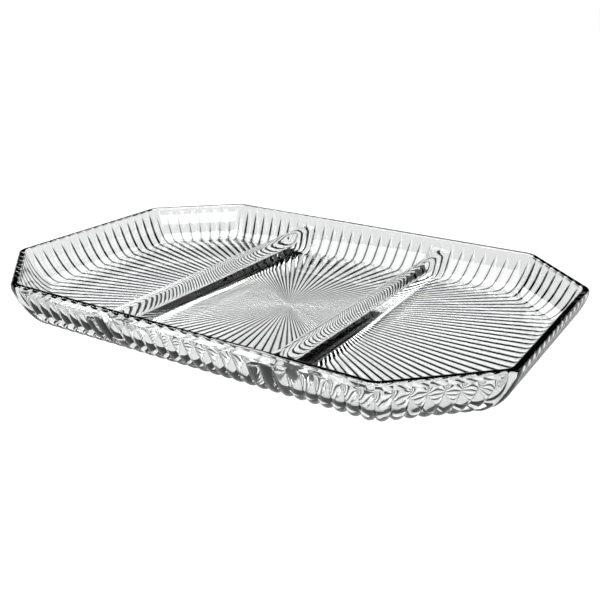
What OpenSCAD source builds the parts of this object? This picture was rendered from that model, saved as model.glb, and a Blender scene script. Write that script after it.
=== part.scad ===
// Three-section relish tray of clear pressed glass, eight-sided, with a ribbed outside and a smooth inside.
// The origin is on the table under the middle of the tray, X runs along the long sides and Z points up.
// The tray is one pressing. Its nodes are the regions that the ring, the mould and the plunger form,
// and they meet face to face.

/* [Tray] */
// Overall length, along the long sides
tray_len = 300; // [260:5:360]
// Overall width, across the long sides
tray_w = 206; // [190:2:240]
// Overall height, from the table to the top of the rim
tray_h = 26; // [23:1:34]
// How much each corner cut takes off the length, and off the width
corner_cut = 44; // [36:1:54]

/* [Rim] */
// Width of the top of the rim, from outside to inside
rim_w = 4; // [3:0.25:5]
// Height of the plain band below the top of the rim
rim_band_h = 3; // [2:0.25:5]
// Radius that rounds the outer and inner edge of the rim
rim_edge_r = 1.4; // [0.5:0.1:1.4]

/* [Wall and floor] */
// How far the outside of the wall draws in from the rim to the base
wall_lean = 18; // [14:0.5:22]
// Glass between the table and the flat inner floor
floor_t = 5.5; // [4.5:0.25:7]

/* [Ribs] */
// Ribs along each long side
long_ribs = 30; // [20:1:34]
// Ribs along each end
end_ribs = 14; // [8:1:18]
// Ribs along each corner cut
cut_ribs = 8; // [5:1:10]
// Depth of the sharp valleys between the ribs, at the foot of the wall
rib_depth = 1.6; // [0.8:0.1:2]

/* [Dividers] */
// Distance from the middle of the tray to the middle of each divider
divider_x = 49; // [40:1:60]
// How far the top of a divider lies below the top of the rim
divider_drop = 6.5; // [4:0.5:9]
// Radius of the rounded top of a divider
divider_top_r = 2.75; // [2:0.25:3]
// Radius of the fillets along the foot of a divider
divider_fillet_r = 5; // [3:0.5:6]
// Width of a divider at the foot, over its fillets
divider_foot_w = 20.5; // [18.5:0.5:23]
// Length of the swell at each end, where a divider runs out into the wall
divider_swell_len = 16; // [10:1:22]
// How much wider each flank is where the swell meets the wall
divider_swell_w = 5; // [2:0.5:7]

/* [Hidden] */
glass = [0.86, 0.9, 0.9, 0.45];

// Curves of the outside of the wall, below the rim and at the foot, and of its inside: 1 is a straight
// slope and 2 a quarter of an ellipse
outside_top_curve = 1.2;
outside_foot_curve = 2;
inside_curve = 1.75;
// Flat where the ribs run out, as a share of the outline of the base
centre_flat_share = 0.03;
// Roundness of a rib: 0 is a parabola and 1 a half circle stretched to the rib's depth
rib_round_share = 0.6;
// Points across a rib, and steps along each curve
rib_steps = 4;
wall_steps = 7;
edge_steps = 4;
fillet_steps = 4;
crown_steps = 6;
swell_steps = 6;

wall_h = tray_h - rim_band_h;
cove_h = tray_h - floor_t;
divider_top_z = tray_h - divider_drop;
divider_h = divider_top_z - floor_t;
// Turn of a divider's straight flank out of the level, which both its arcs run into
divider_arcs = divider_top_r + divider_fillet_r;
divider_run = [divider_foot_w / 2, divider_h - divider_arcs];
flank_turn = atan2(divider_run.y, divider_run.x) + asin(divider_arcs / norm(divider_run));
diagonal = sqrt(2);

// Corners of the eight-sided outline, drawn in by d on every side, from the right end round to the left
function corners(d) =
    let (x = tray_len / 2 - d)
    let (y = tray_w / 2 - d)
    let (cut = tray_len / 2 + tray_w / 2 - corner_cut - d * diagonal)
    [
        [x, cut - x],
        [cut - y, y],
        [y - cut, y],
        [-x, cut - x],
        [-x, x - cut],
        [y - cut, -y],
        [cut - y, -y],
        [x, x - cut]
    ];
// The eight sides in the order of their first corners, and the ribs along each
side_names = ["back_right", "back", "back_left", "left", "front_left", "front", "front_right", "right"];
side_ribs = [cut_ribs, long_ribs, cut_ribs, end_ribs, cut_ribs, long_ribs, cut_ribs, end_ribs];
sides = len(side_ribs);
base = corners(wall_lean);

function between(a, b, share) = a + (b - a) * share;
function at_height(outline, z) = [for (p = outline) [p.x, p.y, z]];
// A closed outline with one point for each rib, where its first valley is
function rib_points(outline) = [
    for (s = [0 : sides - 1])
        for (r = [0 : side_ribs[s] - 1])
            between(outline[s], outline[(s + 1) % sides], r / side_ribs[s])
];
function sum_to(list, n) = n == 0 ? 0 : list[n - 1] + sum_to(list, n - 1);

// How far a curve has gone across when it has gone the given share of its way down
function across(down, top_curve, foot_curve) = 1 - pow(1 - pow(down, top_curve), 1 / foot_curve);
// Share of the way down at even turns of the curve's angle, starting from share start
function down(step, steps, curve, start = 0) =
    let (first = asin(pow(start, curve / 2)))
    pow(sin(between(first, 90, step / steps)), 2 / curve);

// Valley share across a rib: 1 in the sharp valleys at its edges and 0 on the rounded crest
function valley_share(k) =
    let (off_crest = 2 * (k % rib_steps) / rib_steps - 1)
    let (square = off_crest * off_crest)
    (1 - sqrt(1 - rib_round_share * square)) / (1 - sqrt(1 - rib_round_share));
// One closed ring of points round the tray, between the outline of the crests and that of the valleys
function rib_ring(crests, valleys) = [
    for (s = [0 : sides - 1])
        for (k = [0 : side_ribs[s] * rib_steps - 1])
            let (along = k / (side_ribs[s] * rib_steps))
            let (crest = between(crests[s], crests[(s + 1) % sides], along))
            let (valley = between(valleys[s], valleys[(s + 1) % sides], along))
            between(crest, valley, valley_share(k))
];

// Ribbed outside of the wall at a share of the way down, with its valleys square to the curve
function wall_ring(t) =
    let (share = across(t, outside_top_curve, outside_foot_curve))
    let (d = wall_lean * share)
    let (z = wall_h * (1 - t))
    let (out = outside_foot_curve * pow(1 - share, outside_foot_curve - 1) / wall_lean)
    let (up = outside_top_curve * pow(t, outside_top_curve - 1) / wall_h)
    let (depth = rib_depth * (1 - pow(1 - t, 3)) / norm([out, up]))
    rib_ring(at_height(corners(d), z), at_height(corners(d + depth * out), z + depth * up));
// Rays under the floor: the outline of the base shrunk to a share, its valleys fading towards the centre
function ray_ring(share) =
    let (outline = share * base)
    let (fade = (share - centre_flat_share) / (1 - centre_flat_share))
    rib_ring(at_height(outline, 0), at_height(outline, rib_depth * fade));

// Smooth inside of the wall at a share of the way down: from the inner edge of the rim to the floor
function cove_corners(t) =
    at_height(
        between(corners(rim_w), base, across(t, inside_curve, inside_curve)),
        tray_h - cove_h * t
    );
band_t = rim_band_h / cove_h;

// Rings of the whole outside of the wall, and of its inside, with as many steps each
wall_rings = [for (i = [0 : wall_steps]) wall_ring(down(i, wall_steps, outside_top_curve))];
cove_rings = [for (i = [0 : wall_steps]) rib_points(cove_corners(down(i, wall_steps, inside_curve, band_t)))];

// Two triangles through four points, seen clockwise
function quad(a, b, c, d) = [[a, b, c], [a, c, d]];
// Faces that join two rings of n points, the first below or outside the second
function ring_faces(a, b, n) = [
    for (i = [0 : n - 1])
        let (j = (i + 1) % n)
        each quad(a + i, b + i, b + j, a + j)
];
// Faces that join two rows of n steps, the first above the second
function row_faces(a, b, n) = [for (k = [0 : n - 1]) each quad(a + k + 1, b + k + 1, b + k, a + k)];
// Faces between the points of a row of ribs starting at a and the two points, left and right, of each rib
function rib_faces(a, left, right) = concat(
    [for (k = [0 : rib_steps - 1]) [k < rib_steps / 2 ? left : right, a[k], a[k + 1]]],
    [[left, a[rib_steps / 2], right]]
);
// Faces of a mitre between one step of the outside and one of the inside, given their points in a row
function mitre(outside, outside_n, inside, inside_n) =
    quad(outside, outside + outside_n, inside + inside_n, inside);
// The same from a closed ring of ribs starting at a to a ring with one point for each rib starting at b
function ring_of_rib_faces(a, b) = [
    for (r = [0 : ribs_n - 1])
        each rib_faces(
            [for (k = [0 : rib_steps]) a + (r * rib_steps + k) % ring_n],
            b + r,
            b + (r + 1) % ribs_n
        )
];
// And from a row of n ribs starting at a to a row with one point for each rib starting at b
function row_of_rib_faces(a, b, n) = [
    for (r = [0 : n - 1])
        each rib_faces([for (k = [0 : rib_steps]) a + r * rib_steps + k], b + r, b + r + 1)
];
function flipped(faces) = [for (f = faces) [for (i = [len(f) - 1 : -1 : 0]) f[i]]];
function joined(lists) = [for (list = lists) each list];
ribs_n = sum_to(side_ribs, sides);
ring_n = ribs_n * rib_steps;

// Floor: flat on top, and below it rays that run from the foot of the wall to a small flat centre
module floor_panel() {
    hub = rib_points(centre_flat_share * base);
    hub_at = ring_n;
    top_at = hub_at + ribs_n;
    under_at = top_at + ribs_n;
    over_at = under_at + 1;
    points = concat(
        ray_ring(1),
        at_height(hub, 0),
        rib_points(cove_corners(1)),
        [[0, 0, 0], [0, 0, floor_t]]
    );
    faces = concat(
        ring_of_rib_faces(0, hub_at),
        [for (r = [0 : ribs_n - 1]) [under_at, hub_at + r, hub_at + (r + 1) % ribs_n]],
        flipped(ring_of_rib_faces(0, top_at)),
        [for (r = [0 : ribs_n - 1]) [over_at, top_at + (r + 1) % ribs_n, top_at + r]]
    );
    color(glass) polyhedron(points, faces, convexity = 10);
}

// One side of the wall: ribbed outside that turns under to the floor, a smooth cove inside, and at each
// end the mitre that it shares with the next side
module wall_side(name) {
    side = search([name], side_names)[0];
    ribs = side_ribs[side];
    across_n = ribs * rib_steps;
    outside_n = across_n + 1;
    inside_n = ribs + 1;
    first_rib = sum_to(side_ribs, side);
    outside = [
        for (ring = wall_rings)
            for (k = [0 : across_n])
                ring[(first_rib * rib_steps + k) % ring_n]
    ];
    inside = [
        for (ring = cove_rings)
            for (r = [0 : ribs])
                ring[(first_rib + r) % ribs_n]
    ];
    inside_at = len(outside);
    faces = concat(
        [for (i = [0 : wall_steps - 1]) each row_faces(i * outside_n, (i + 1) * outside_n, across_n)],
        flipped([
            for (i = [0 : wall_steps - 1])
                each row_faces(inside_at + i * inside_n, inside_at + (i + 1) * inside_n, ribs)
        ]),
        flipped(row_of_rib_faces(0, inside_at, ribs)),
        row_of_rib_faces(wall_steps * outside_n, inside_at + wall_steps * inside_n, ribs),
        [for (i = [0 : wall_steps - 1]) each mitre(i * outside_n, outside_n, inside_at + i * inside_n, inside_n)],
        flipped([
            for (i = [0 : wall_steps - 1])
                each mitre(
                    i * outside_n + across_n,
                    outside_n,
                    inside_at + i * inside_n + ribs,
                    inside_n
                )
        ])
    );
    color(glass) polyhedron(concat(outside, inside), faces, convexity = 10);
}

module front_wall() wall_side("front");
module back_wall() wall_side("back");
module left_wall() wall_side("left");
module right_wall() wall_side("right");
module front_left_wall() wall_side("front_left");
module front_right_wall() wall_side("front_right");
module back_left_wall() wall_side("back_left");
module back_right_wall() wall_side("back_right");

// Rim: the plain band that the ring of the mould forms, with both its top edges rounded
module rim_band() {
    outer = [
        for (i = [0 : edge_steps])
            let (turn = 90 * i / edge_steps)
            at_height(
                corners(rim_edge_r * (1 - cos(turn))),
                tray_h - rim_edge_r * (1 - sin(turn))
            )
    ];
    inner = [
        for (i = [0 : edge_steps])
            let (turn = 90 * i / edge_steps)
            at_height(
                corners(rim_w - rim_edge_r * (1 - sin(turn))),
                tray_h - rim_edge_r * (1 - cos(turn))
            )
    ];
    rings = concat([at_height(corners(0), wall_h)], outer, inner, [cove_corners(band_t)]);
    rings_n = len(rings);
    faces = [
        for (i = [0 : rings_n - 1])
            each ring_faces(i * sides, ((i + 1) % rings_n) * sides, sides)
    ];
    color(glass) polyhedron(joined(rings), faces, convexity = 10);
}

// Cross-section of a divider, from its left foot over the crown to its right foot, widened by swell.
// A fillet leads from the floor into the straight flank, and the round top leads out of it.
function divider_section(swell) =
    let (foot = divider_foot_w / 2 + swell)
    let (top = divider_top_r + swell / sin(flank_turn))
    let (left = concat(
        [
            for (i = [0 : fillet_steps])
                let (turn = flank_turn * i / fillet_steps)
                [foot - divider_fillet_r * sin(turn), floor_t + divider_fillet_r * (1 - cos(turn))]
        ],
        [
            for (i = [0 : crown_steps - 1])
                let (turn = flank_turn * (1 - i / crown_steps))
                [top * sin(turn), divider_top_z - divider_top_r * (1 - cos(turn))]
        ]
    ))
    concat(
        [for (p = left) [-p.x, p.y]],
        [[0, divider_top_z]],
        [for (i = [len(left) - 1 : -1 : 0]) left[i]]
    );

// Inside of the tray as seen from the end, which trims the ends of the dividers to the wall
module cavity() {
    right = [
        for (i = [0 : wall_steps])
            let (c = cove_corners(down(i, wall_steps, inside_curve, band_t))[1])
            [c.y, c.z]
    ];
    left = [for (i = [wall_steps : -1 : 0]) [-right[i].x, right[i].y]];
    rotate([90, 0, 90])
        linear_extrude(tray_len, center = true)
            polygon(concat(right, left));
}

// Divider: a rounded ridge from wall to wall whose ends swell out into the wall
module divider() {
    reach = tray_w / 2 - rim_w;
    swell_from = tray_w / 2 - wall_lean - divider_swell_len / 2;
    run = [
        for (i = [0 : swell_steps])
            let (share = i / swell_steps)
            [between(swell_from, reach, share), divider_swell_w * share * share]
    ];
    stations = concat(
        [for (i = [swell_steps : -1 : 0]) [-run[i].x, run[i].y]],
        run
    );
    sections = [
        for (at = stations)
            [for (p = divider_section(at.y)) [p.x, at.x, p.y]]
    ];
    n = len(sections[0]);
    last = len(sections) - 1;
    faces = concat(
        [[for (i = [0 : n - 1]) i]],
        [for (i = [0 : last - 1]) each ring_faces(i * n, (i + 1) * n, n)],
        [[for (i = [n - 1 : -1 : 0]) last * n + i]]
    );
    intersection() {
        polyhedron(joined(sections), faces, convexity = 6);
        cavity();
    }
}

module left_divider() {
    color(glass) translate([-divider_x, 0, 0]) divider();
}

module right_divider() {
    color(glass) translate([divider_x, 0, 0]) divider();
}

floor_panel();
front_wall();
back_wall();
left_wall();
right_wall();
front_left_wall();
front_right_wall();
back_left_wall();
back_right_wall();
rim_band();
left_divider();
right_divider();
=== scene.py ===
"""Three-section relish tray of clear pressed glass, standing on a plain white table."""
import math
import bpy
import numpy as np
from mathutils import Matrix, Vector


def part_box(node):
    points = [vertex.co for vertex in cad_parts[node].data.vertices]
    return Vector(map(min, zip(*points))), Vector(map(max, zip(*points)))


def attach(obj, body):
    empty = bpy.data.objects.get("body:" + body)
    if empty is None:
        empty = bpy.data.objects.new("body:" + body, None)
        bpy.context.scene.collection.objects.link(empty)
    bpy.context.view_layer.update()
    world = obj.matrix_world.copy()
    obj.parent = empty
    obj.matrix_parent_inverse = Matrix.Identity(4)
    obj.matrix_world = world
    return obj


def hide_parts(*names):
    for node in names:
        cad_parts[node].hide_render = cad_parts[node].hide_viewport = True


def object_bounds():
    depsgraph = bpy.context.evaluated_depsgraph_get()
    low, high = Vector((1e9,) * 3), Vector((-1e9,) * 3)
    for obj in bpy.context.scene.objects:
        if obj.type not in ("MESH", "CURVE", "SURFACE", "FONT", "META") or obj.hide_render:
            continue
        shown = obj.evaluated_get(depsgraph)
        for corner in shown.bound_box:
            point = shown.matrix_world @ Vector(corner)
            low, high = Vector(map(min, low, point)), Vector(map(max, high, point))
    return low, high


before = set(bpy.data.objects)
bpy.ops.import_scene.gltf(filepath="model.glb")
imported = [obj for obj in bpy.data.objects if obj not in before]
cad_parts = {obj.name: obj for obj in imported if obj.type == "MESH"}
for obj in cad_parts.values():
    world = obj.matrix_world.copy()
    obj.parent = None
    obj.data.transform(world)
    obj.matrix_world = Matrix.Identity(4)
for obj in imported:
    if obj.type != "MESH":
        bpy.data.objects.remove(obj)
cad_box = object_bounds()

# Floor panel
# The bottom of the clear glass tray, flat where the plunger pressed it, with the rays of a sunburst from
# the mould below. It is one pressing with the wall round it and the two dividers that stand on it.
half_length, half_width, rim_z = cad_box[1]
floor_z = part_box("floor_panel")[1][2]
corner_cut = 0.044
corner_radius = 0.008
wall_lean = 0.018
corner_turn = math.pi / 4
setback = corner_radius * math.tan(corner_turn / 2)
corner_arc = corner_radius * corner_turn / 2
CUT_RIGHT_BACK, BACK, CUT_LEFT_BACK, LEFT, CUT_LEFT_FRONT, FRONT, CUT_RIGHT_FRONT, RIGHT = range(8)


def octagon(inset):
    """Eight corners of the outline drawn in by inset, anticlockwise from the right end."""
    x, y = half_length - inset, half_width - inset
    cut = half_length + half_width - corner_cut - inset * math.sqrt(2)
    back = [(x, cut - x), (cut - y, y), (y - cut, y), (-x, cut - x)]
    return np.array(back + [(-px, -py) for px, py in back])


def side_length(corners, side):
    """Length of one side from the middle of one rounded corner to the middle of the next."""
    straight = np.linalg.norm(corners[(side + 1) % len(corners)] - corners[side])
    return straight - 2 * setback + 2 * corner_arc


def side_points(corners, side, distances):
    """Points at these distances along one side, from the middle of its first rounded corner."""
    start, end = corners[side], corners[(side + 1) % len(corners)]
    ahead = (end - start) / np.linalg.norm(end - start)
    inward = np.array([-ahead[1], ahead[0]])
    total = side_length(corners, side)
    points = []
    for distance in distances:
        if distance < corner_arc:
            angle, corner, sign = (corner_arc - distance) / corner_radius, start, 1
        elif distance > total - corner_arc:
            angle, corner, sign = (distance - total + corner_arc) / corner_radius, end, -1
        else:
            points.append(start + ahead * (setback + distance - corner_arc))
            continue
        centre = corner + corner_radius * inward + sign * setback * ahead
        spoke = inward * math.cos(angle) + sign * ahead * math.sin(angle)
        points.append(centre - corner_radius * spoke)
    return points


cut_ribs, long_ribs, end_ribs = 8, 30, 16
side_ribs = [cut_ribs, long_ribs, cut_ribs, end_ribs] * 2
rib_depth = 0.0016
rib_roundness = 0.7
rib_steps = 12
rib_places = [(1 - math.cos(math.pi * k / rib_steps)) / 2 for k in range(rib_steps)]
foot_outline = octagon(wall_lean)
hub_share = 0.012
ray_depth_share = 0.45
ray_fade_power = 14
ray_shares = (0.98, 0.955, 0.93, 0.9, 0.86, 0.8, 0.7, 0.55, 0.4, 0.2, 0.1, 0.05, hub_share)


def valley_share(place):
    """How much of the valley's depth a rib has at a place across it: none on its crest."""
    square = (2 * place - 1) ** 2
    return (1 - math.sqrt(1 - rib_roundness * square)) / (1 - math.sqrt(1 - rib_roundness))


def rib_ring(crest_outline, crest_z, valley_outline, valley_z):
    """One closed row of points round the tray, from valley to crest and back across each rib."""
    row = []
    for side, ribs in enumerate(side_ribs):
        shares = np.array([(rib + place) / ribs for rib in range(ribs) for place in rib_places])
        crests = side_points(crest_outline, side, shares * side_length(crest_outline, side))
        valleys = side_points(valley_outline, side, shares * side_length(valley_outline, side))
        for number, (crest, valley) in enumerate(zip(crests, valleys)):
            share = valley_share(rib_places[number % rib_steps])
            x, y = crest + (valley - crest) * share
            row.append((x, y, crest_z + (valley_z - crest_z) * share))
    return row


def ray_ring(share):
    """The rays under the floor at a share of its outline. They soon get shallower than the ribs."""
    fade = (share - hub_share) / (1 - hub_share)
    depth = rib_depth * fade * (ray_depth_share + (1 - ray_depth_share) * fade ** ray_fade_power)
    outline = share * foot_outline
    return rib_ring(outline, 0, outline, depth)


divider_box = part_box("right_divider")
divider_x = (divider_box[0][0] + divider_box[1][0]) / 2
divider_z = divider_box[1][2]
crown_radius = 0.00275
fillet_radius = 0.005
foot_reach = 0.01025
both_radii = crown_radius + fillet_radius
flank_rise = divider_z - floor_z - both_radii
flank_span = math.hypot(foot_reach, flank_rise)
flank_turn = math.atan2(flank_rise, foot_reach) + math.asin(both_radii / flank_span)
crown_edge = crown_radius * math.sin(flank_turn)
fillet_edge = foot_reach - fillet_radius * math.sin(flank_turn)
fillet_top = floor_z + fillet_radius * (1 - math.cos(flank_turn))


def ridge_height(off):
    """Height of a divider this far from its middle: round top, flank, fillet, then below the floor."""
    if off < crown_edge:
        return divider_z - crown_radius + math.sqrt(crown_radius ** 2 - off ** 2)
    if off < fillet_edge:
        return fillet_top + (fillet_edge - off) * math.tan(flank_turn)
    if off < foot_reach:
        return floor_z + fillet_radius - math.sqrt(fillet_radius ** 2 - (foot_reach - off) ** 2)
    return floor_z - (off - foot_reach) ** 2 / fillet_radius


def smooth_max(a, b, blend):
    """The greater of two heights, with a rounded inner corner where they cross."""
    overlap = max(blend - abs(a - b), 0) / blend
    return max(a, b) + overlap * overlap * blend / 4


rim_width = 0.004
floor_reach = foot_outline[BACK][1]
wall_fillet = 0.0028
wall_fillet_rise = 0.002
swell_width = 0.005
swell_length = 0.016
swell_start = floor_reach - swell_length / 2


def ridge_top(x, y, z):
    """Height of the glass where the floor or cove has height z, with the dividers on it."""
    share = max(abs(y) - swell_start, 0) / (half_width - rim_width - swell_start)
    swell = swell_width * share ** 2
    off = abs(abs(x) - divider_x)
    off = off - swell if off > crown_edge + swell else off * crown_edge / (crown_edge + swell)
    ridge = ridge_height(off)
    if z <= floor_z:
        return max(z, ridge)
    return smooth_max(z, ridge, wall_fillet * min(1, (z - floor_z) / wall_fillet_rise))


# Between the tray's ends the inside is a grid, fine across each divider and coarse where it is flat
grid_reach = 0.088
plain_step = 0.008
ridge_step = 0.0004
ridge_reach = 0.0098
swell_reach = 0.0168
swell_column_count = 10
middle_column_count, middle_row_count = 4, 9
swell_row_count = 9
swell_row_margin = 0.004
column_digits = 6
least_lift = 1e-7
middle_columns = [plain_step * k for k in range(middle_column_count)]
outer_columns = [0.0745, 0.081, grid_reach]
ridge_columns = np.concatenate([np.arange(0, ridge_reach, ridge_step),
                                np.linspace(ridge_reach, swell_reach, swell_column_count)])
right_columns = {round(x, column_digits) for x in middle_columns + outer_columns}
right_columns |= {round(divider_x + sign * off, column_digits) for off in ridge_columns for sign in (1, -1)}
columns = sorted(right_columns | {-x for x in right_columns})
swell_rows = np.linspace(floor_reach, swell_start - swell_row_margin, swell_row_count)
middle_rows = [plain_step * k for k in reversed(range(middle_row_count))]
back_half_rows = [*swell_rows, *middle_rows]
floor_rows = [(y, floor_z) for y in back_half_rows + [-y for y in reversed(back_half_rows) if y > 0]]


def cells(rows):
    """Each cell of the grid: its plain corners, those on the divider over it, and that divider's name."""
    for (back_y, back_z), (front_y, front_z) in zip(rows, rows[1:]):
        for low_x, high_x in zip(columns, columns[1:]):
            plain = [(low_x, back_y, back_z), (low_x, front_y, front_z),
                     (high_x, front_y, front_z), (high_x, back_y, back_z)]
            ridge = [(x, y, ridge_top(x, y, z)) for x, y, z in plain]
            lifted = max(high[2] - low[2] for low, high in zip(plain, ridge)) > least_lift
            divider = ("right_divider" if low_x > 0 else "left_divider") if lifted else None
            yield plain, ridge, divider


cut_steps, end_steps = 8, 12


def end_row(corners, z):
    """A row round the right end of the tray, from the grid's front right corner to its back right one."""
    points = []
    long_run = corners[BACK][0] - setback - grid_reach
    for side, steps in ((FRONT, 1), (CUT_RIGHT_FRONT, cut_steps), (RIGHT, end_steps),
                        (CUT_RIGHT_BACK, cut_steps), (BACK, 1)):
        total = side_length(corners, side)
        low = total - corner_arc - long_run if side == FRONT else corner_arc
        high = corner_arc + long_run if side == BACK else total - corner_arc
        distances = list(np.linspace(low, high, steps + 1))
        if side != FRONT:
            distances = [0, corner_arc / 2] + distances
        if side != BACK:
            distances = distances + [total - corner_arc / 2]
        points += side_points(corners, side, distances)
    return [(x, y, z) for x, y in points]


def mirrored(row):
    """The same row round the other end, kept anticlockwise."""
    return [(-x, y, z) for x, y, z in reversed(row)]


def inside_row(corners, z):
    """One closed row on the smooth inside: front of the grid, right end, back of the grid, left end."""
    y = corners[BACK][1]
    front = [(x, -y, z) for x in columns[1:-1]]
    back = [(x, y, z) for x in reversed(columns[1:-1])]
    right = end_row(corners, z)
    return front + right + back + mirrored(right)


def turn_of(point):
    """Turn of a point about the middle of the tray."""
    return math.atan2(point[1], point[0])


def from_lowest_turn(row):
    """The same closed row, begun at its lowest turn about the middle of the tray and closed on itself."""
    first = min(range(len(row)), key=lambda k: turn_of(row[k]))
    return row[first:] + row[:first] + [row[first]]


def joining_faces(outer, inner):
    """Triangles between two closed rows with unlike numbers of points, paired by their turn."""
    outer, inner = from_lowest_turn(outer), from_lowest_turn(inner)
    outer_turns = [turn_of(p) for p in outer[:-1]] + [turn_of(outer[-1]) + 2 * math.pi]
    inner_turns = [turn_of(p) for p in inner[:-1]] + [turn_of(inner[-1]) + 2 * math.pi]
    faces, i, j = [], 0, 0
    while i < len(outer) - 1 or j < len(inner) - 1:
        inner_done = j == len(inner) - 1
        if inner_done or (i < len(outer) - 1 and outer_turns[i + 1] <= inner_turns[j + 1]):
            faces.append((outer[i], outer[i + 1], inner[j]))
            i += 1
        else:
            faces.append((outer[i], inner[j + 1], inner[j]))
            j += 1
    return faces


point_digits = 8


class Region:
    """Points and faces of one region of the pressing. A joined face is one where the glass runs on."""

    def __init__(self):
        self.points, self.faces, self.joined, self.index_of = [], [], [], {}

    def face(self, points, joined=False):
        """One face through these points, where points in one place count once."""
        loop = []
        for point in points:
            place = tuple(round(float(c), point_digits) for c in point)
            if place not in self.index_of:
                self.index_of[place] = len(self.points)
                self.points.append(place)
            if self.index_of[place] not in loop:
                loop.append(self.index_of[place])
        if len(loop) > 2:
            self.faces.append(loop)
            self.joined.append(joined)

    def strip(self, outer, inner, closed=True):
        """Faces between two anticlockwise rows. They face up if the second row lies inside the first."""
        for i in range(len(outer) if closed else len(outer) - 1):
            j = (i + 1) % len(outer)
            self.face((outer[i], outer[j], inner[j], inner[i]))


floor = Region()
foot_ring = ray_ring(1)
foot_row = inside_row(foot_outline, floor_z)
foot_joint = joining_faces(foot_ring, foot_row)
ray_rings = [foot_ring] + [ray_ring(share) for share in ray_shares]
for outer, inner in zip(ray_rings, ray_rings[1:]):
    floor.strip(inner, outer)
floor.face(ray_rings[-1][::-1])
for loop in foot_joint:
    floor.face(loop, True)
for plain, ridge, divider in cells(floor_rows):
    floor.face(plain, divider is not None)
grid_edge = [(grid_reach, y, z) for y, z in floor_rows[1:-1]]
floor_end = end_row(foot_outline, floor_z) + grid_edge
floor.face(floor_end)
floor.face(mirrored(floor_end))

# The glass is clear and its shadow pale. Faint cords from the melt show in its tint and in its skin
glass = bpy.data.materials.new("clear_glass")
glass.use_nodes = True
nodes, links = glass.node_tree.nodes, glass.node_tree.links
nodes.clear()
glass_place = nodes.new("ShaderNodeTexCoord")
cord_noise = nodes.new("ShaderNodeTexNoise")
cord_noise.inputs["Scale"].default_value = 55
cord_noise.inputs["Detail"].default_value = 2
tint = nodes.new("ShaderNodeValToRGB")
tint.color_ramp.elements[0].color = (0.955, 0.968, 0.962, 1)
tint.color_ramp.elements[1].color = (0.985, 0.99, 0.988, 1)
polish_noise = nodes.new("ShaderNodeTexNoise")
polish_noise.inputs["Scale"].default_value = 240
polish_noise.inputs["Detail"].default_value = 3
polish = nodes.new("ShaderNodeMapRange")
polish.inputs["To Min"].default_value = 0.0
polish.inputs["To Max"].default_value = 0.004
waviness = nodes.new("ShaderNodeBump")
waviness.inputs["Strength"].default_value = 0.25
waviness.inputs["Distance"].default_value = 0.0004
surface = nodes.new("ShaderNodeBsdfPrincipled")
surface.inputs["Transmission Weight"].default_value = 1
surface.inputs["IOR"].default_value = 1.5
clear_shadow = nodes.new("ShaderNodeBsdfTransparent")
clear_shadow.inputs["Color"].default_value = (0.86, 0.88, 0.875, 1)
light_path = nodes.new("ShaderNodeLightPath")
shadow_mix = nodes.new("ShaderNodeMixShader")
output = nodes.new("ShaderNodeOutputMaterial")
for noise in (cord_noise, polish_noise):
    links.new(glass_place.outputs["Object"], noise.inputs["Vector"])
links.new(cord_noise.outputs["Fac"], tint.inputs["Fac"])
links.new(tint.outputs["Color"], surface.inputs["Base Color"])
links.new(polish_noise.outputs["Fac"], polish.inputs["Value"])
links.new(polish.outputs["Result"], surface.inputs["Roughness"])
links.new(cord_noise.outputs["Fac"], waviness.inputs["Height"])
links.new(waviness.outputs["Normal"], surface.inputs["Normal"])
links.new(light_path.outputs["Is Shadow Ray"], shadow_mix.inputs["Fac"])
links.new(surface.outputs["BSDF"], shadow_mix.inputs[1])
links.new(clear_shadow.outputs["BSDF"], shadow_mix.inputs[2])
links.new(shadow_mix.outputs["Shader"], output.inputs["Surface"])

# Where one region meets the next the glass runs on, so light passes straight through
running_on = bpy.data.materials.new("glass_runs_on")
running_on.use_nodes = True
running_on.node_tree.nodes.clear()
pass_through = running_on.node_tree.nodes.new("ShaderNodeBsdfTransparent")
running_on_output = running_on.node_tree.nodes.new("ShaderNodeOutputMaterial")
running_on.node_tree.links.new(pass_through.outputs["BSDF"], running_on_output.inputs["Surface"])
pressed = []


def press(region, name, *replaced):
    """One region of the pressing as a closed mesh, which replaces these nodes of the CAD."""
    mesh = bpy.data.meshes.new(name)
    mesh.from_pydata(region.points, [], region.faces)
    mesh.materials.append(glass)
    mesh.materials.append(running_on)
    mesh.polygons.foreach_set("material_index", [int(joined) for joined in region.joined])
    mesh.polygons.foreach_set("use_smooth", [True] * len(region.faces))
    piece = bpy.data.objects.new(name, mesh)
    bpy.context.scene.collection.objects.link(piece)
    pressed.append((region, mesh))
    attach(piece, "root")
    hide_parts(*replaced)


press(floor, "floor_glass", "floor_panel")

# Side wall
# Eight sides of the same glass, about 4 mm thick, which the plunger pressed to a smooth cove inside. The
# mould ribbed them outside, faintly at the top and fully at the foot, where the ribs turn under as rays.
quarter_turn = math.pi / 2
band_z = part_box("rim_band")[0][2]
band_down = (rim_z - band_z) / (rim_z - floor_z)
band_rib_share = 0.09
rib_fade_power = 3
outside_top_curve, outside_foot_curve = 1.2, 2
inside_curve = 1.75
wall_steps = 22
cove_steps = 18


def across(down, top_curve, foot_curve):
    """How far a curve has gone across at a share of its way down."""
    return 1 - (1 - down ** top_curve) ** (1 / foot_curve)


def down_at(step, steps, curve, start=0.0):
    """Share of the way down at even turns of a curve's angle."""
    first = math.asin(start ** (curve / 2))
    return math.sin(first + (quarter_turn - first) * step / steps) ** (2 / curve)


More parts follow.
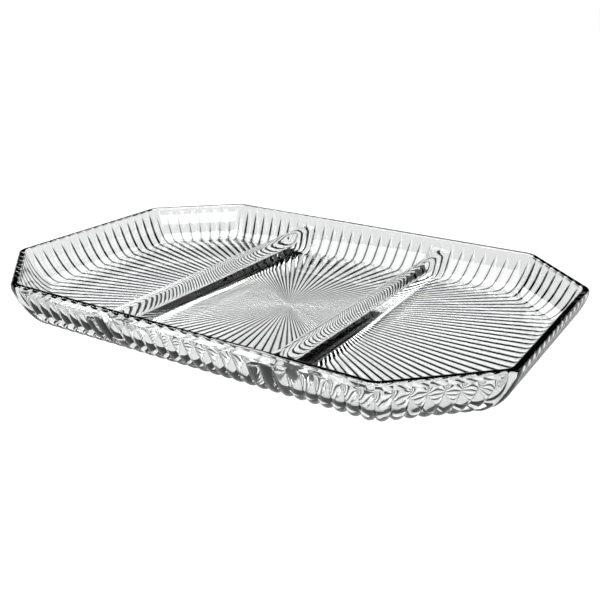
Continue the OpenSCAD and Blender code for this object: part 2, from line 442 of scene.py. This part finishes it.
def wall_ring(down):
    """The ribbed outside of the wall at a share of the way down, with valleys square to its curve."""
    share = across(down, outside_top_curve, outside_foot_curve)
    inset = wall_lean * share
    z = band_z * (1 - down)
    out = outside_foot_curve * (1 - share) ** (outside_foot_curve - 1) / wall_lean
    up = outside_top_curve * down ** (outside_top_curve - 1) / band_z
    depth = rib_depth * (1 - (1 - band_rib_share) * (1 - down) ** rib_fade_power) / math.hypot(out, up)
    return rib_ring(octagon(inset), z, octagon(inset + depth * out), z + depth * up)


def cove_outline(down):
    """Outline of the smooth inside at a share of the way from the rim down to the floor."""
    share = across(down, inside_curve, inside_curve)
    return octagon(rim_width) * (1 - share) + foot_outline * share


def cove_z(down):
    """Height of the smooth inside at a share of the way from the rim down to the floor."""
    return rim_z + (floor_z - rim_z) * down


wall = Region()
band_ring = wall_ring(0)
wall_rings = [wall_ring(down_at(i, wall_steps, outside_top_curve)) for i in range(1, wall_steps)]
wall_rings = [band_ring] + wall_rings + [foot_ring]
for upper, lower in zip(wall_rings, wall_rings[1:]):
    wall.strip(lower, upper)
cove_downs = [down_at(i, cove_steps, inside_curve, band_down) for i in range(cove_steps + 1)]
cove_ends = [end_row(cove_outline(down), cove_z(down)) for down in cove_downs]
for upper, lower in zip(cove_ends, cove_ends[1:]):
    wall.strip(upper, lower, closed=False)
    wall.strip(mirrored(upper), mirrored(lower), closed=False)
back_cove_rows = [(cove_outline(down)[BACK][1], cove_z(down)) for down in cove_downs]
front_cove_rows = [(-y, z) for y, z in reversed(back_cove_rows)]
for rows in (back_cove_rows, front_cove_rows):
    for plain, ridge, divider in cells(rows):
        wall.face(plain, divider is not None)
band_row = inside_row(cove_outline(band_down), band_z)
band_joint = joining_faces(band_ring, band_row)
for loop in band_joint:
    wall.face(loop, True)
for loop in foot_joint:
    wall.face(loop[::-1], True)
press(wall, "wall_glass", *[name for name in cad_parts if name.endswith("wall")])

# Rim band
# The almost plain band of the same glass that the ring of the mould left round the top of the wall. Its
# flat top is fire polished, and both its edges are rounded.
edge_radius = 0.0011
edge_steps = 5
edge_turns = [quarter_turn * i / edge_steps for i in range(edge_steps + 1)]
middle_row_share = 0.65
middle_down = band_down * middle_row_share
rim = Region()
outer_rows = [band_ring]
for turn in edge_turns:
    inset = edge_radius * (1 - math.cos(turn))
    z = rim_z - edge_radius * (1 - math.sin(turn))
    outer_rows.append(rib_ring(octagon(inset), z, octagon(inset + rib_depth * band_rib_share), z))
inner_rows = []
for turn in edge_turns:
    outline = octagon(rim_width - edge_radius * (1 - math.sin(turn)))
    inner_rows.append(inside_row(outline, rim_z - edge_radius * (1 - math.cos(turn))))
inner_rows.append(inside_row(cove_outline(middle_down), cove_z(middle_down)))
inner_rows.append(band_row)
for lower, upper in zip(outer_rows, outer_rows[1:]):
    rim.strip(lower, upper)
for loop in joining_faces(outer_rows[-1], inner_rows[0]):
    rim.face(loop)
for upper, lower in zip(inner_rows, inner_rows[1:]):
    rim.strip(upper, lower)
for loop in band_joint:
    rim.face(loop[::-1], True)
press(rim, "rim_glass", "rim_band")

# Dividers
# The two ridges between the compartments, solid glass like the rest, each pressed in a slot of the
# plunger. They stand on the floor, fillet into it and swell out into the wall at both their ends.
dividers = {name: Region() for name in ("left_divider", "right_divider")}
for rows in (back_cove_rows, floor_rows, front_cove_rows):
    for plain, ridge, divider in cells(rows):
        if divider:
            dividers[divider].face(ridge)
            dividers[divider].face(plain[::-1], True)
press(dividers["left_divider"], "left_divider_glass", "left_divider")
press(dividers["right_divider"], "right_divider_glass", "right_divider")

# Fire polish
# The whole pressing is passed through a flame, which leaves one smooth skin of glass across all its
# regions. So each point has one normal, from all the faces round it that meet air.
normal_inside_the_glass = (0, 0, 1.0)
least_area = 1e-12
skin = {}
for region, mesh in pressed:
    for loop, joined in zip(region.faces, region.joined):
        if not joined:
            around = np.array([region.points[i] for i in loop])
            area = np.cross(around, np.roll(around, -1, axis=0)).sum(axis=0)
            for i in loop:
                skin[region.points[i]] = skin.get(region.points[i], 0) + area
for region, mesh in pressed:
    normals = []
    for point in region.points:
        normal = np.array(skin.get(point, normal_inside_the_glass))
        normals.append(tuple(normal / max(np.linalg.norm(normal), least_area)))
    mesh.normals_split_custom_set_from_vertices(normals)

# Table
# A plain matt white table top, so broad that no edge shows. It is white to the camera and greyer through
# the glass, and it keeps the soft shadow of the tray.
table_reach = 3.0
table_gap = 0.0002
glow_to_camera = 0.9
glow_through_glass = 0.5
table_mesh = bpy.data.meshes.new("table")
table_corners = [(x * table_reach, y * table_reach, 0) for x, y in ((-1, -1), (1, -1), (1, 1), (-1, 1))]
table_mesh.from_pydata(table_corners, [], [(0, 1, 2, 3)])
table = bpy.data.objects.new("table", table_mesh)
table.location.z = -table_gap
bpy.context.scene.collection.objects.link(table)
table_paint = bpy.data.materials.new("table_white")
table_paint.use_nodes = True
paint_nodes, paint_links = table_paint.node_tree.nodes, table_paint.node_tree.links
table_surface = paint_nodes["Principled BSDF"]
table_surface.inputs["Base Color"].default_value = (0.15, 0.15, 0.15, 1)
table_surface.inputs["Roughness"].default_value = 0.9
table_surface.inputs["Specular IOR Level"].default_value = 0.1
table_surface.inputs["Emission Color"].default_value = (1, 1, 1, 1)
table_path = paint_nodes.new("ShaderNodeLightPath")
by_glass = paint_nodes.new("ShaderNodeMath")
by_glass.operation = "MAXIMUM"
glow_by_glass = paint_nodes.new("ShaderNodeMath")
glow_by_glass.operation = "MULTIPLY"
glow_by_glass.inputs[1].default_value = glow_through_glass
table_glow = paint_nodes.new("ShaderNodeMath")
table_glow.operation = "MULTIPLY_ADD"
table_glow.inputs[1].default_value = glow_to_camera
paint_links.new(table_path.outputs["Is Glossy Ray"], by_glass.inputs[0])
paint_links.new(table_path.outputs["Is Transmission Ray"], by_glass.inputs[1])
paint_links.new(by_glass.outputs["Value"], glow_by_glass.inputs[0])
paint_links.new(table_path.outputs["Is Camera Ray"], table_glow.inputs[0])
paint_links.new(glow_by_glass.outputs["Value"], table_glow.inputs[2])
paint_links.new(table_glow.outputs["Value"], table_surface.inputs["Emission Strength"])
table_mesh.materials.append(table_paint)

# Studio
# A dark room with a low white sweep behind the tray, which gives the glass its black and white lines. A
# large silk hangs over the tray, three softboxes stand round it, and even daylight fills in.
camera_azimuth = math.radians(31.64)
towards_camera = (math.sin(camera_azimuth), -math.cos(camera_azimuth), 0)
upward = (0, 0, 1)
dark_room = 0.01
softbox_distance = 1.2
world = bpy.data.worlds.new("studio")
bpy.context.scene.world = world
world.use_nodes = True
room_nodes, room_links = world.node_tree.nodes, world.node_tree.links
room = room_nodes["Background"]
room.inputs["Color"].default_value = (1, 1, 1, 1)
way = room_nodes.new("ShaderNodeTexCoord")
room_path = room_nodes.new("ShaderNodeLightPath")


def facing(axis, low, high, value_low, value_high):
    """A value that changes smoothly as a direction turns towards an axis, over these cosines."""
    dot = room_nodes.new("ShaderNodeVectorMath")
    dot.operation = "DOT_PRODUCT"
    dot.inputs[1].default_value = axis
    room_links.new(way.outputs["Generated"], dot.inputs[0])
    span = room_nodes.new("ShaderNodeMapRange")
    span.interpolation_type = "SMOOTHSTEP"
    span.inputs["From Min"].default_value = low
    span.inputs["From Max"].default_value = high
    span.inputs["To Min"].default_value = value_low
    span.inputs["To Max"].default_value = value_high
    room_links.new(dot.outputs["Value"], span.inputs["Value"])
    return span.outputs["Result"]


def combined(operation, first, second):
    """Two light values worked into one, where the second may be a plain number."""
    node = room_nodes.new("ShaderNodeMath")
    node.operation = operation
    room_links.new(first, node.inputs[0])
    if isinstance(second, float):
        node.inputs[1].default_value = second
    else:
        room_links.new(second, node.inputs[1])
    return node.outputs["Value"]


def soft_lamp(name, place, size, face_brightness):
    """A rectangular soft lamp in its place, facing straight down."""
    lamp = bpy.data.lights.new(name, "AREA")
    lamp.shape = "RECTANGLE"
    lamp.size, lamp.size_y = size
    lamp.energy = face_brightness * math.pi * size[0] * size[1]
    stand = bpy.data.objects.new(name, lamp)
    stand.location = place
    bpy.context.scene.collection.objects.link(stand)
    return stand


def softbox(name, azimuth, elevation, size, face_brightness):
    """A softbox that way from the tray, in degrees, and turned to it."""
    turn, rise = math.radians(azimuth), math.radians(elevation)
    aim = Vector((math.cos(rise) * math.cos(turn), math.cos(rise) * math.sin(turn), math.sin(rise)))
    stand = soft_lamp(name, aim * softbox_distance, size, face_brightness)
    stand.rotation_euler = aim.to_track_quat("Z", "Y").to_euler()


sweep_low = facing(upward, low=0.16, high=0.26, value_low=0.9, value_high=0)
sweep_far = facing(towards_camera, low=-0.35, high=0.05, value_low=1, value_high=0)
room_light = combined("MAXIMUM", combined("MULTIPLY", sweep_low, sweep_far), dark_room)
room_light = combined("MAXIMUM", room_light, room_path.outputs["Is Camera Ray"])
room_links.new(room_light, room.inputs["Strength"])

softbox("front_right_softbox", azimuth=-39, elevation=28, size=(0.5, 0.65), face_brightness=5)
softbox("back_left_softbox", azimuth=142, elevation=34, size=(0.65, 0.25), face_brightness=6)
softbox("back_right_softbox", azimuth=50, elevation=30, size=(0.5, 0.4), face_brightness=1.5)
soft_lamp("silk", place=(-0.3, -0.2, 0.9), size=(0.8, 2.2), face_brightness=4)
daylight = bpy.data.lights.new("daylight", "SUN")
daylight.angle = math.radians(40)
daylight.energy = 2.4
window = bpy.data.objects.new("daylight", daylight)
bpy.context.scene.collection.objects.link(window)

# Camera
# It stands in front of the tray, to the right, and looks down by 21 degrees. Its place, its turn and its
# lens were fitted to the rim corners, the foot of the wall and the edge of the floor in the photograph.
elevation = math.radians(20.857)
roll = 0.0108296
distance, shift_right, shift_down = 0.46152, 0.006442, 0.017801
back = np.array([math.sin(camera_azimuth) * math.cos(elevation),
                 -math.cos(camera_azimuth) * math.cos(elevation), math.sin(elevation)])
right = np.array([math.cos(camera_azimuth), math.sin(camera_azimuth), 0])
up = np.cross(back, right)
eye = back * distance + right * shift_right - up * shift_down + np.array([0, 0, rim_z])
right_rolled = math.cos(roll) * right + math.sin(roll) * up
up_rolled = -math.sin(roll) * right + math.cos(roll) * up
lens = bpy.data.cameras.new("camera")
lens.lens = 49.89
lens.sensor_width = 36
camera = bpy.data.objects.new("camera", lens)
camera_turn = Matrix([list(row) for row in np.array([right_rolled, up_rolled, back]).T]).to_4x4()
camera.matrix_world = Matrix.Translation(eye) @ camera_turn
bpy.context.scene.collection.objects.link(camera)
scene = bpy.context.scene
scene.camera = camera
scene.view_settings.view_transform = "Standard"
scene.cycles.max_bounces = 32
scene.cycles.transmission_bounces = 32
scene.cycles.transparent_max_bounces = 64
scene.cycles.glossy_bounces = 1
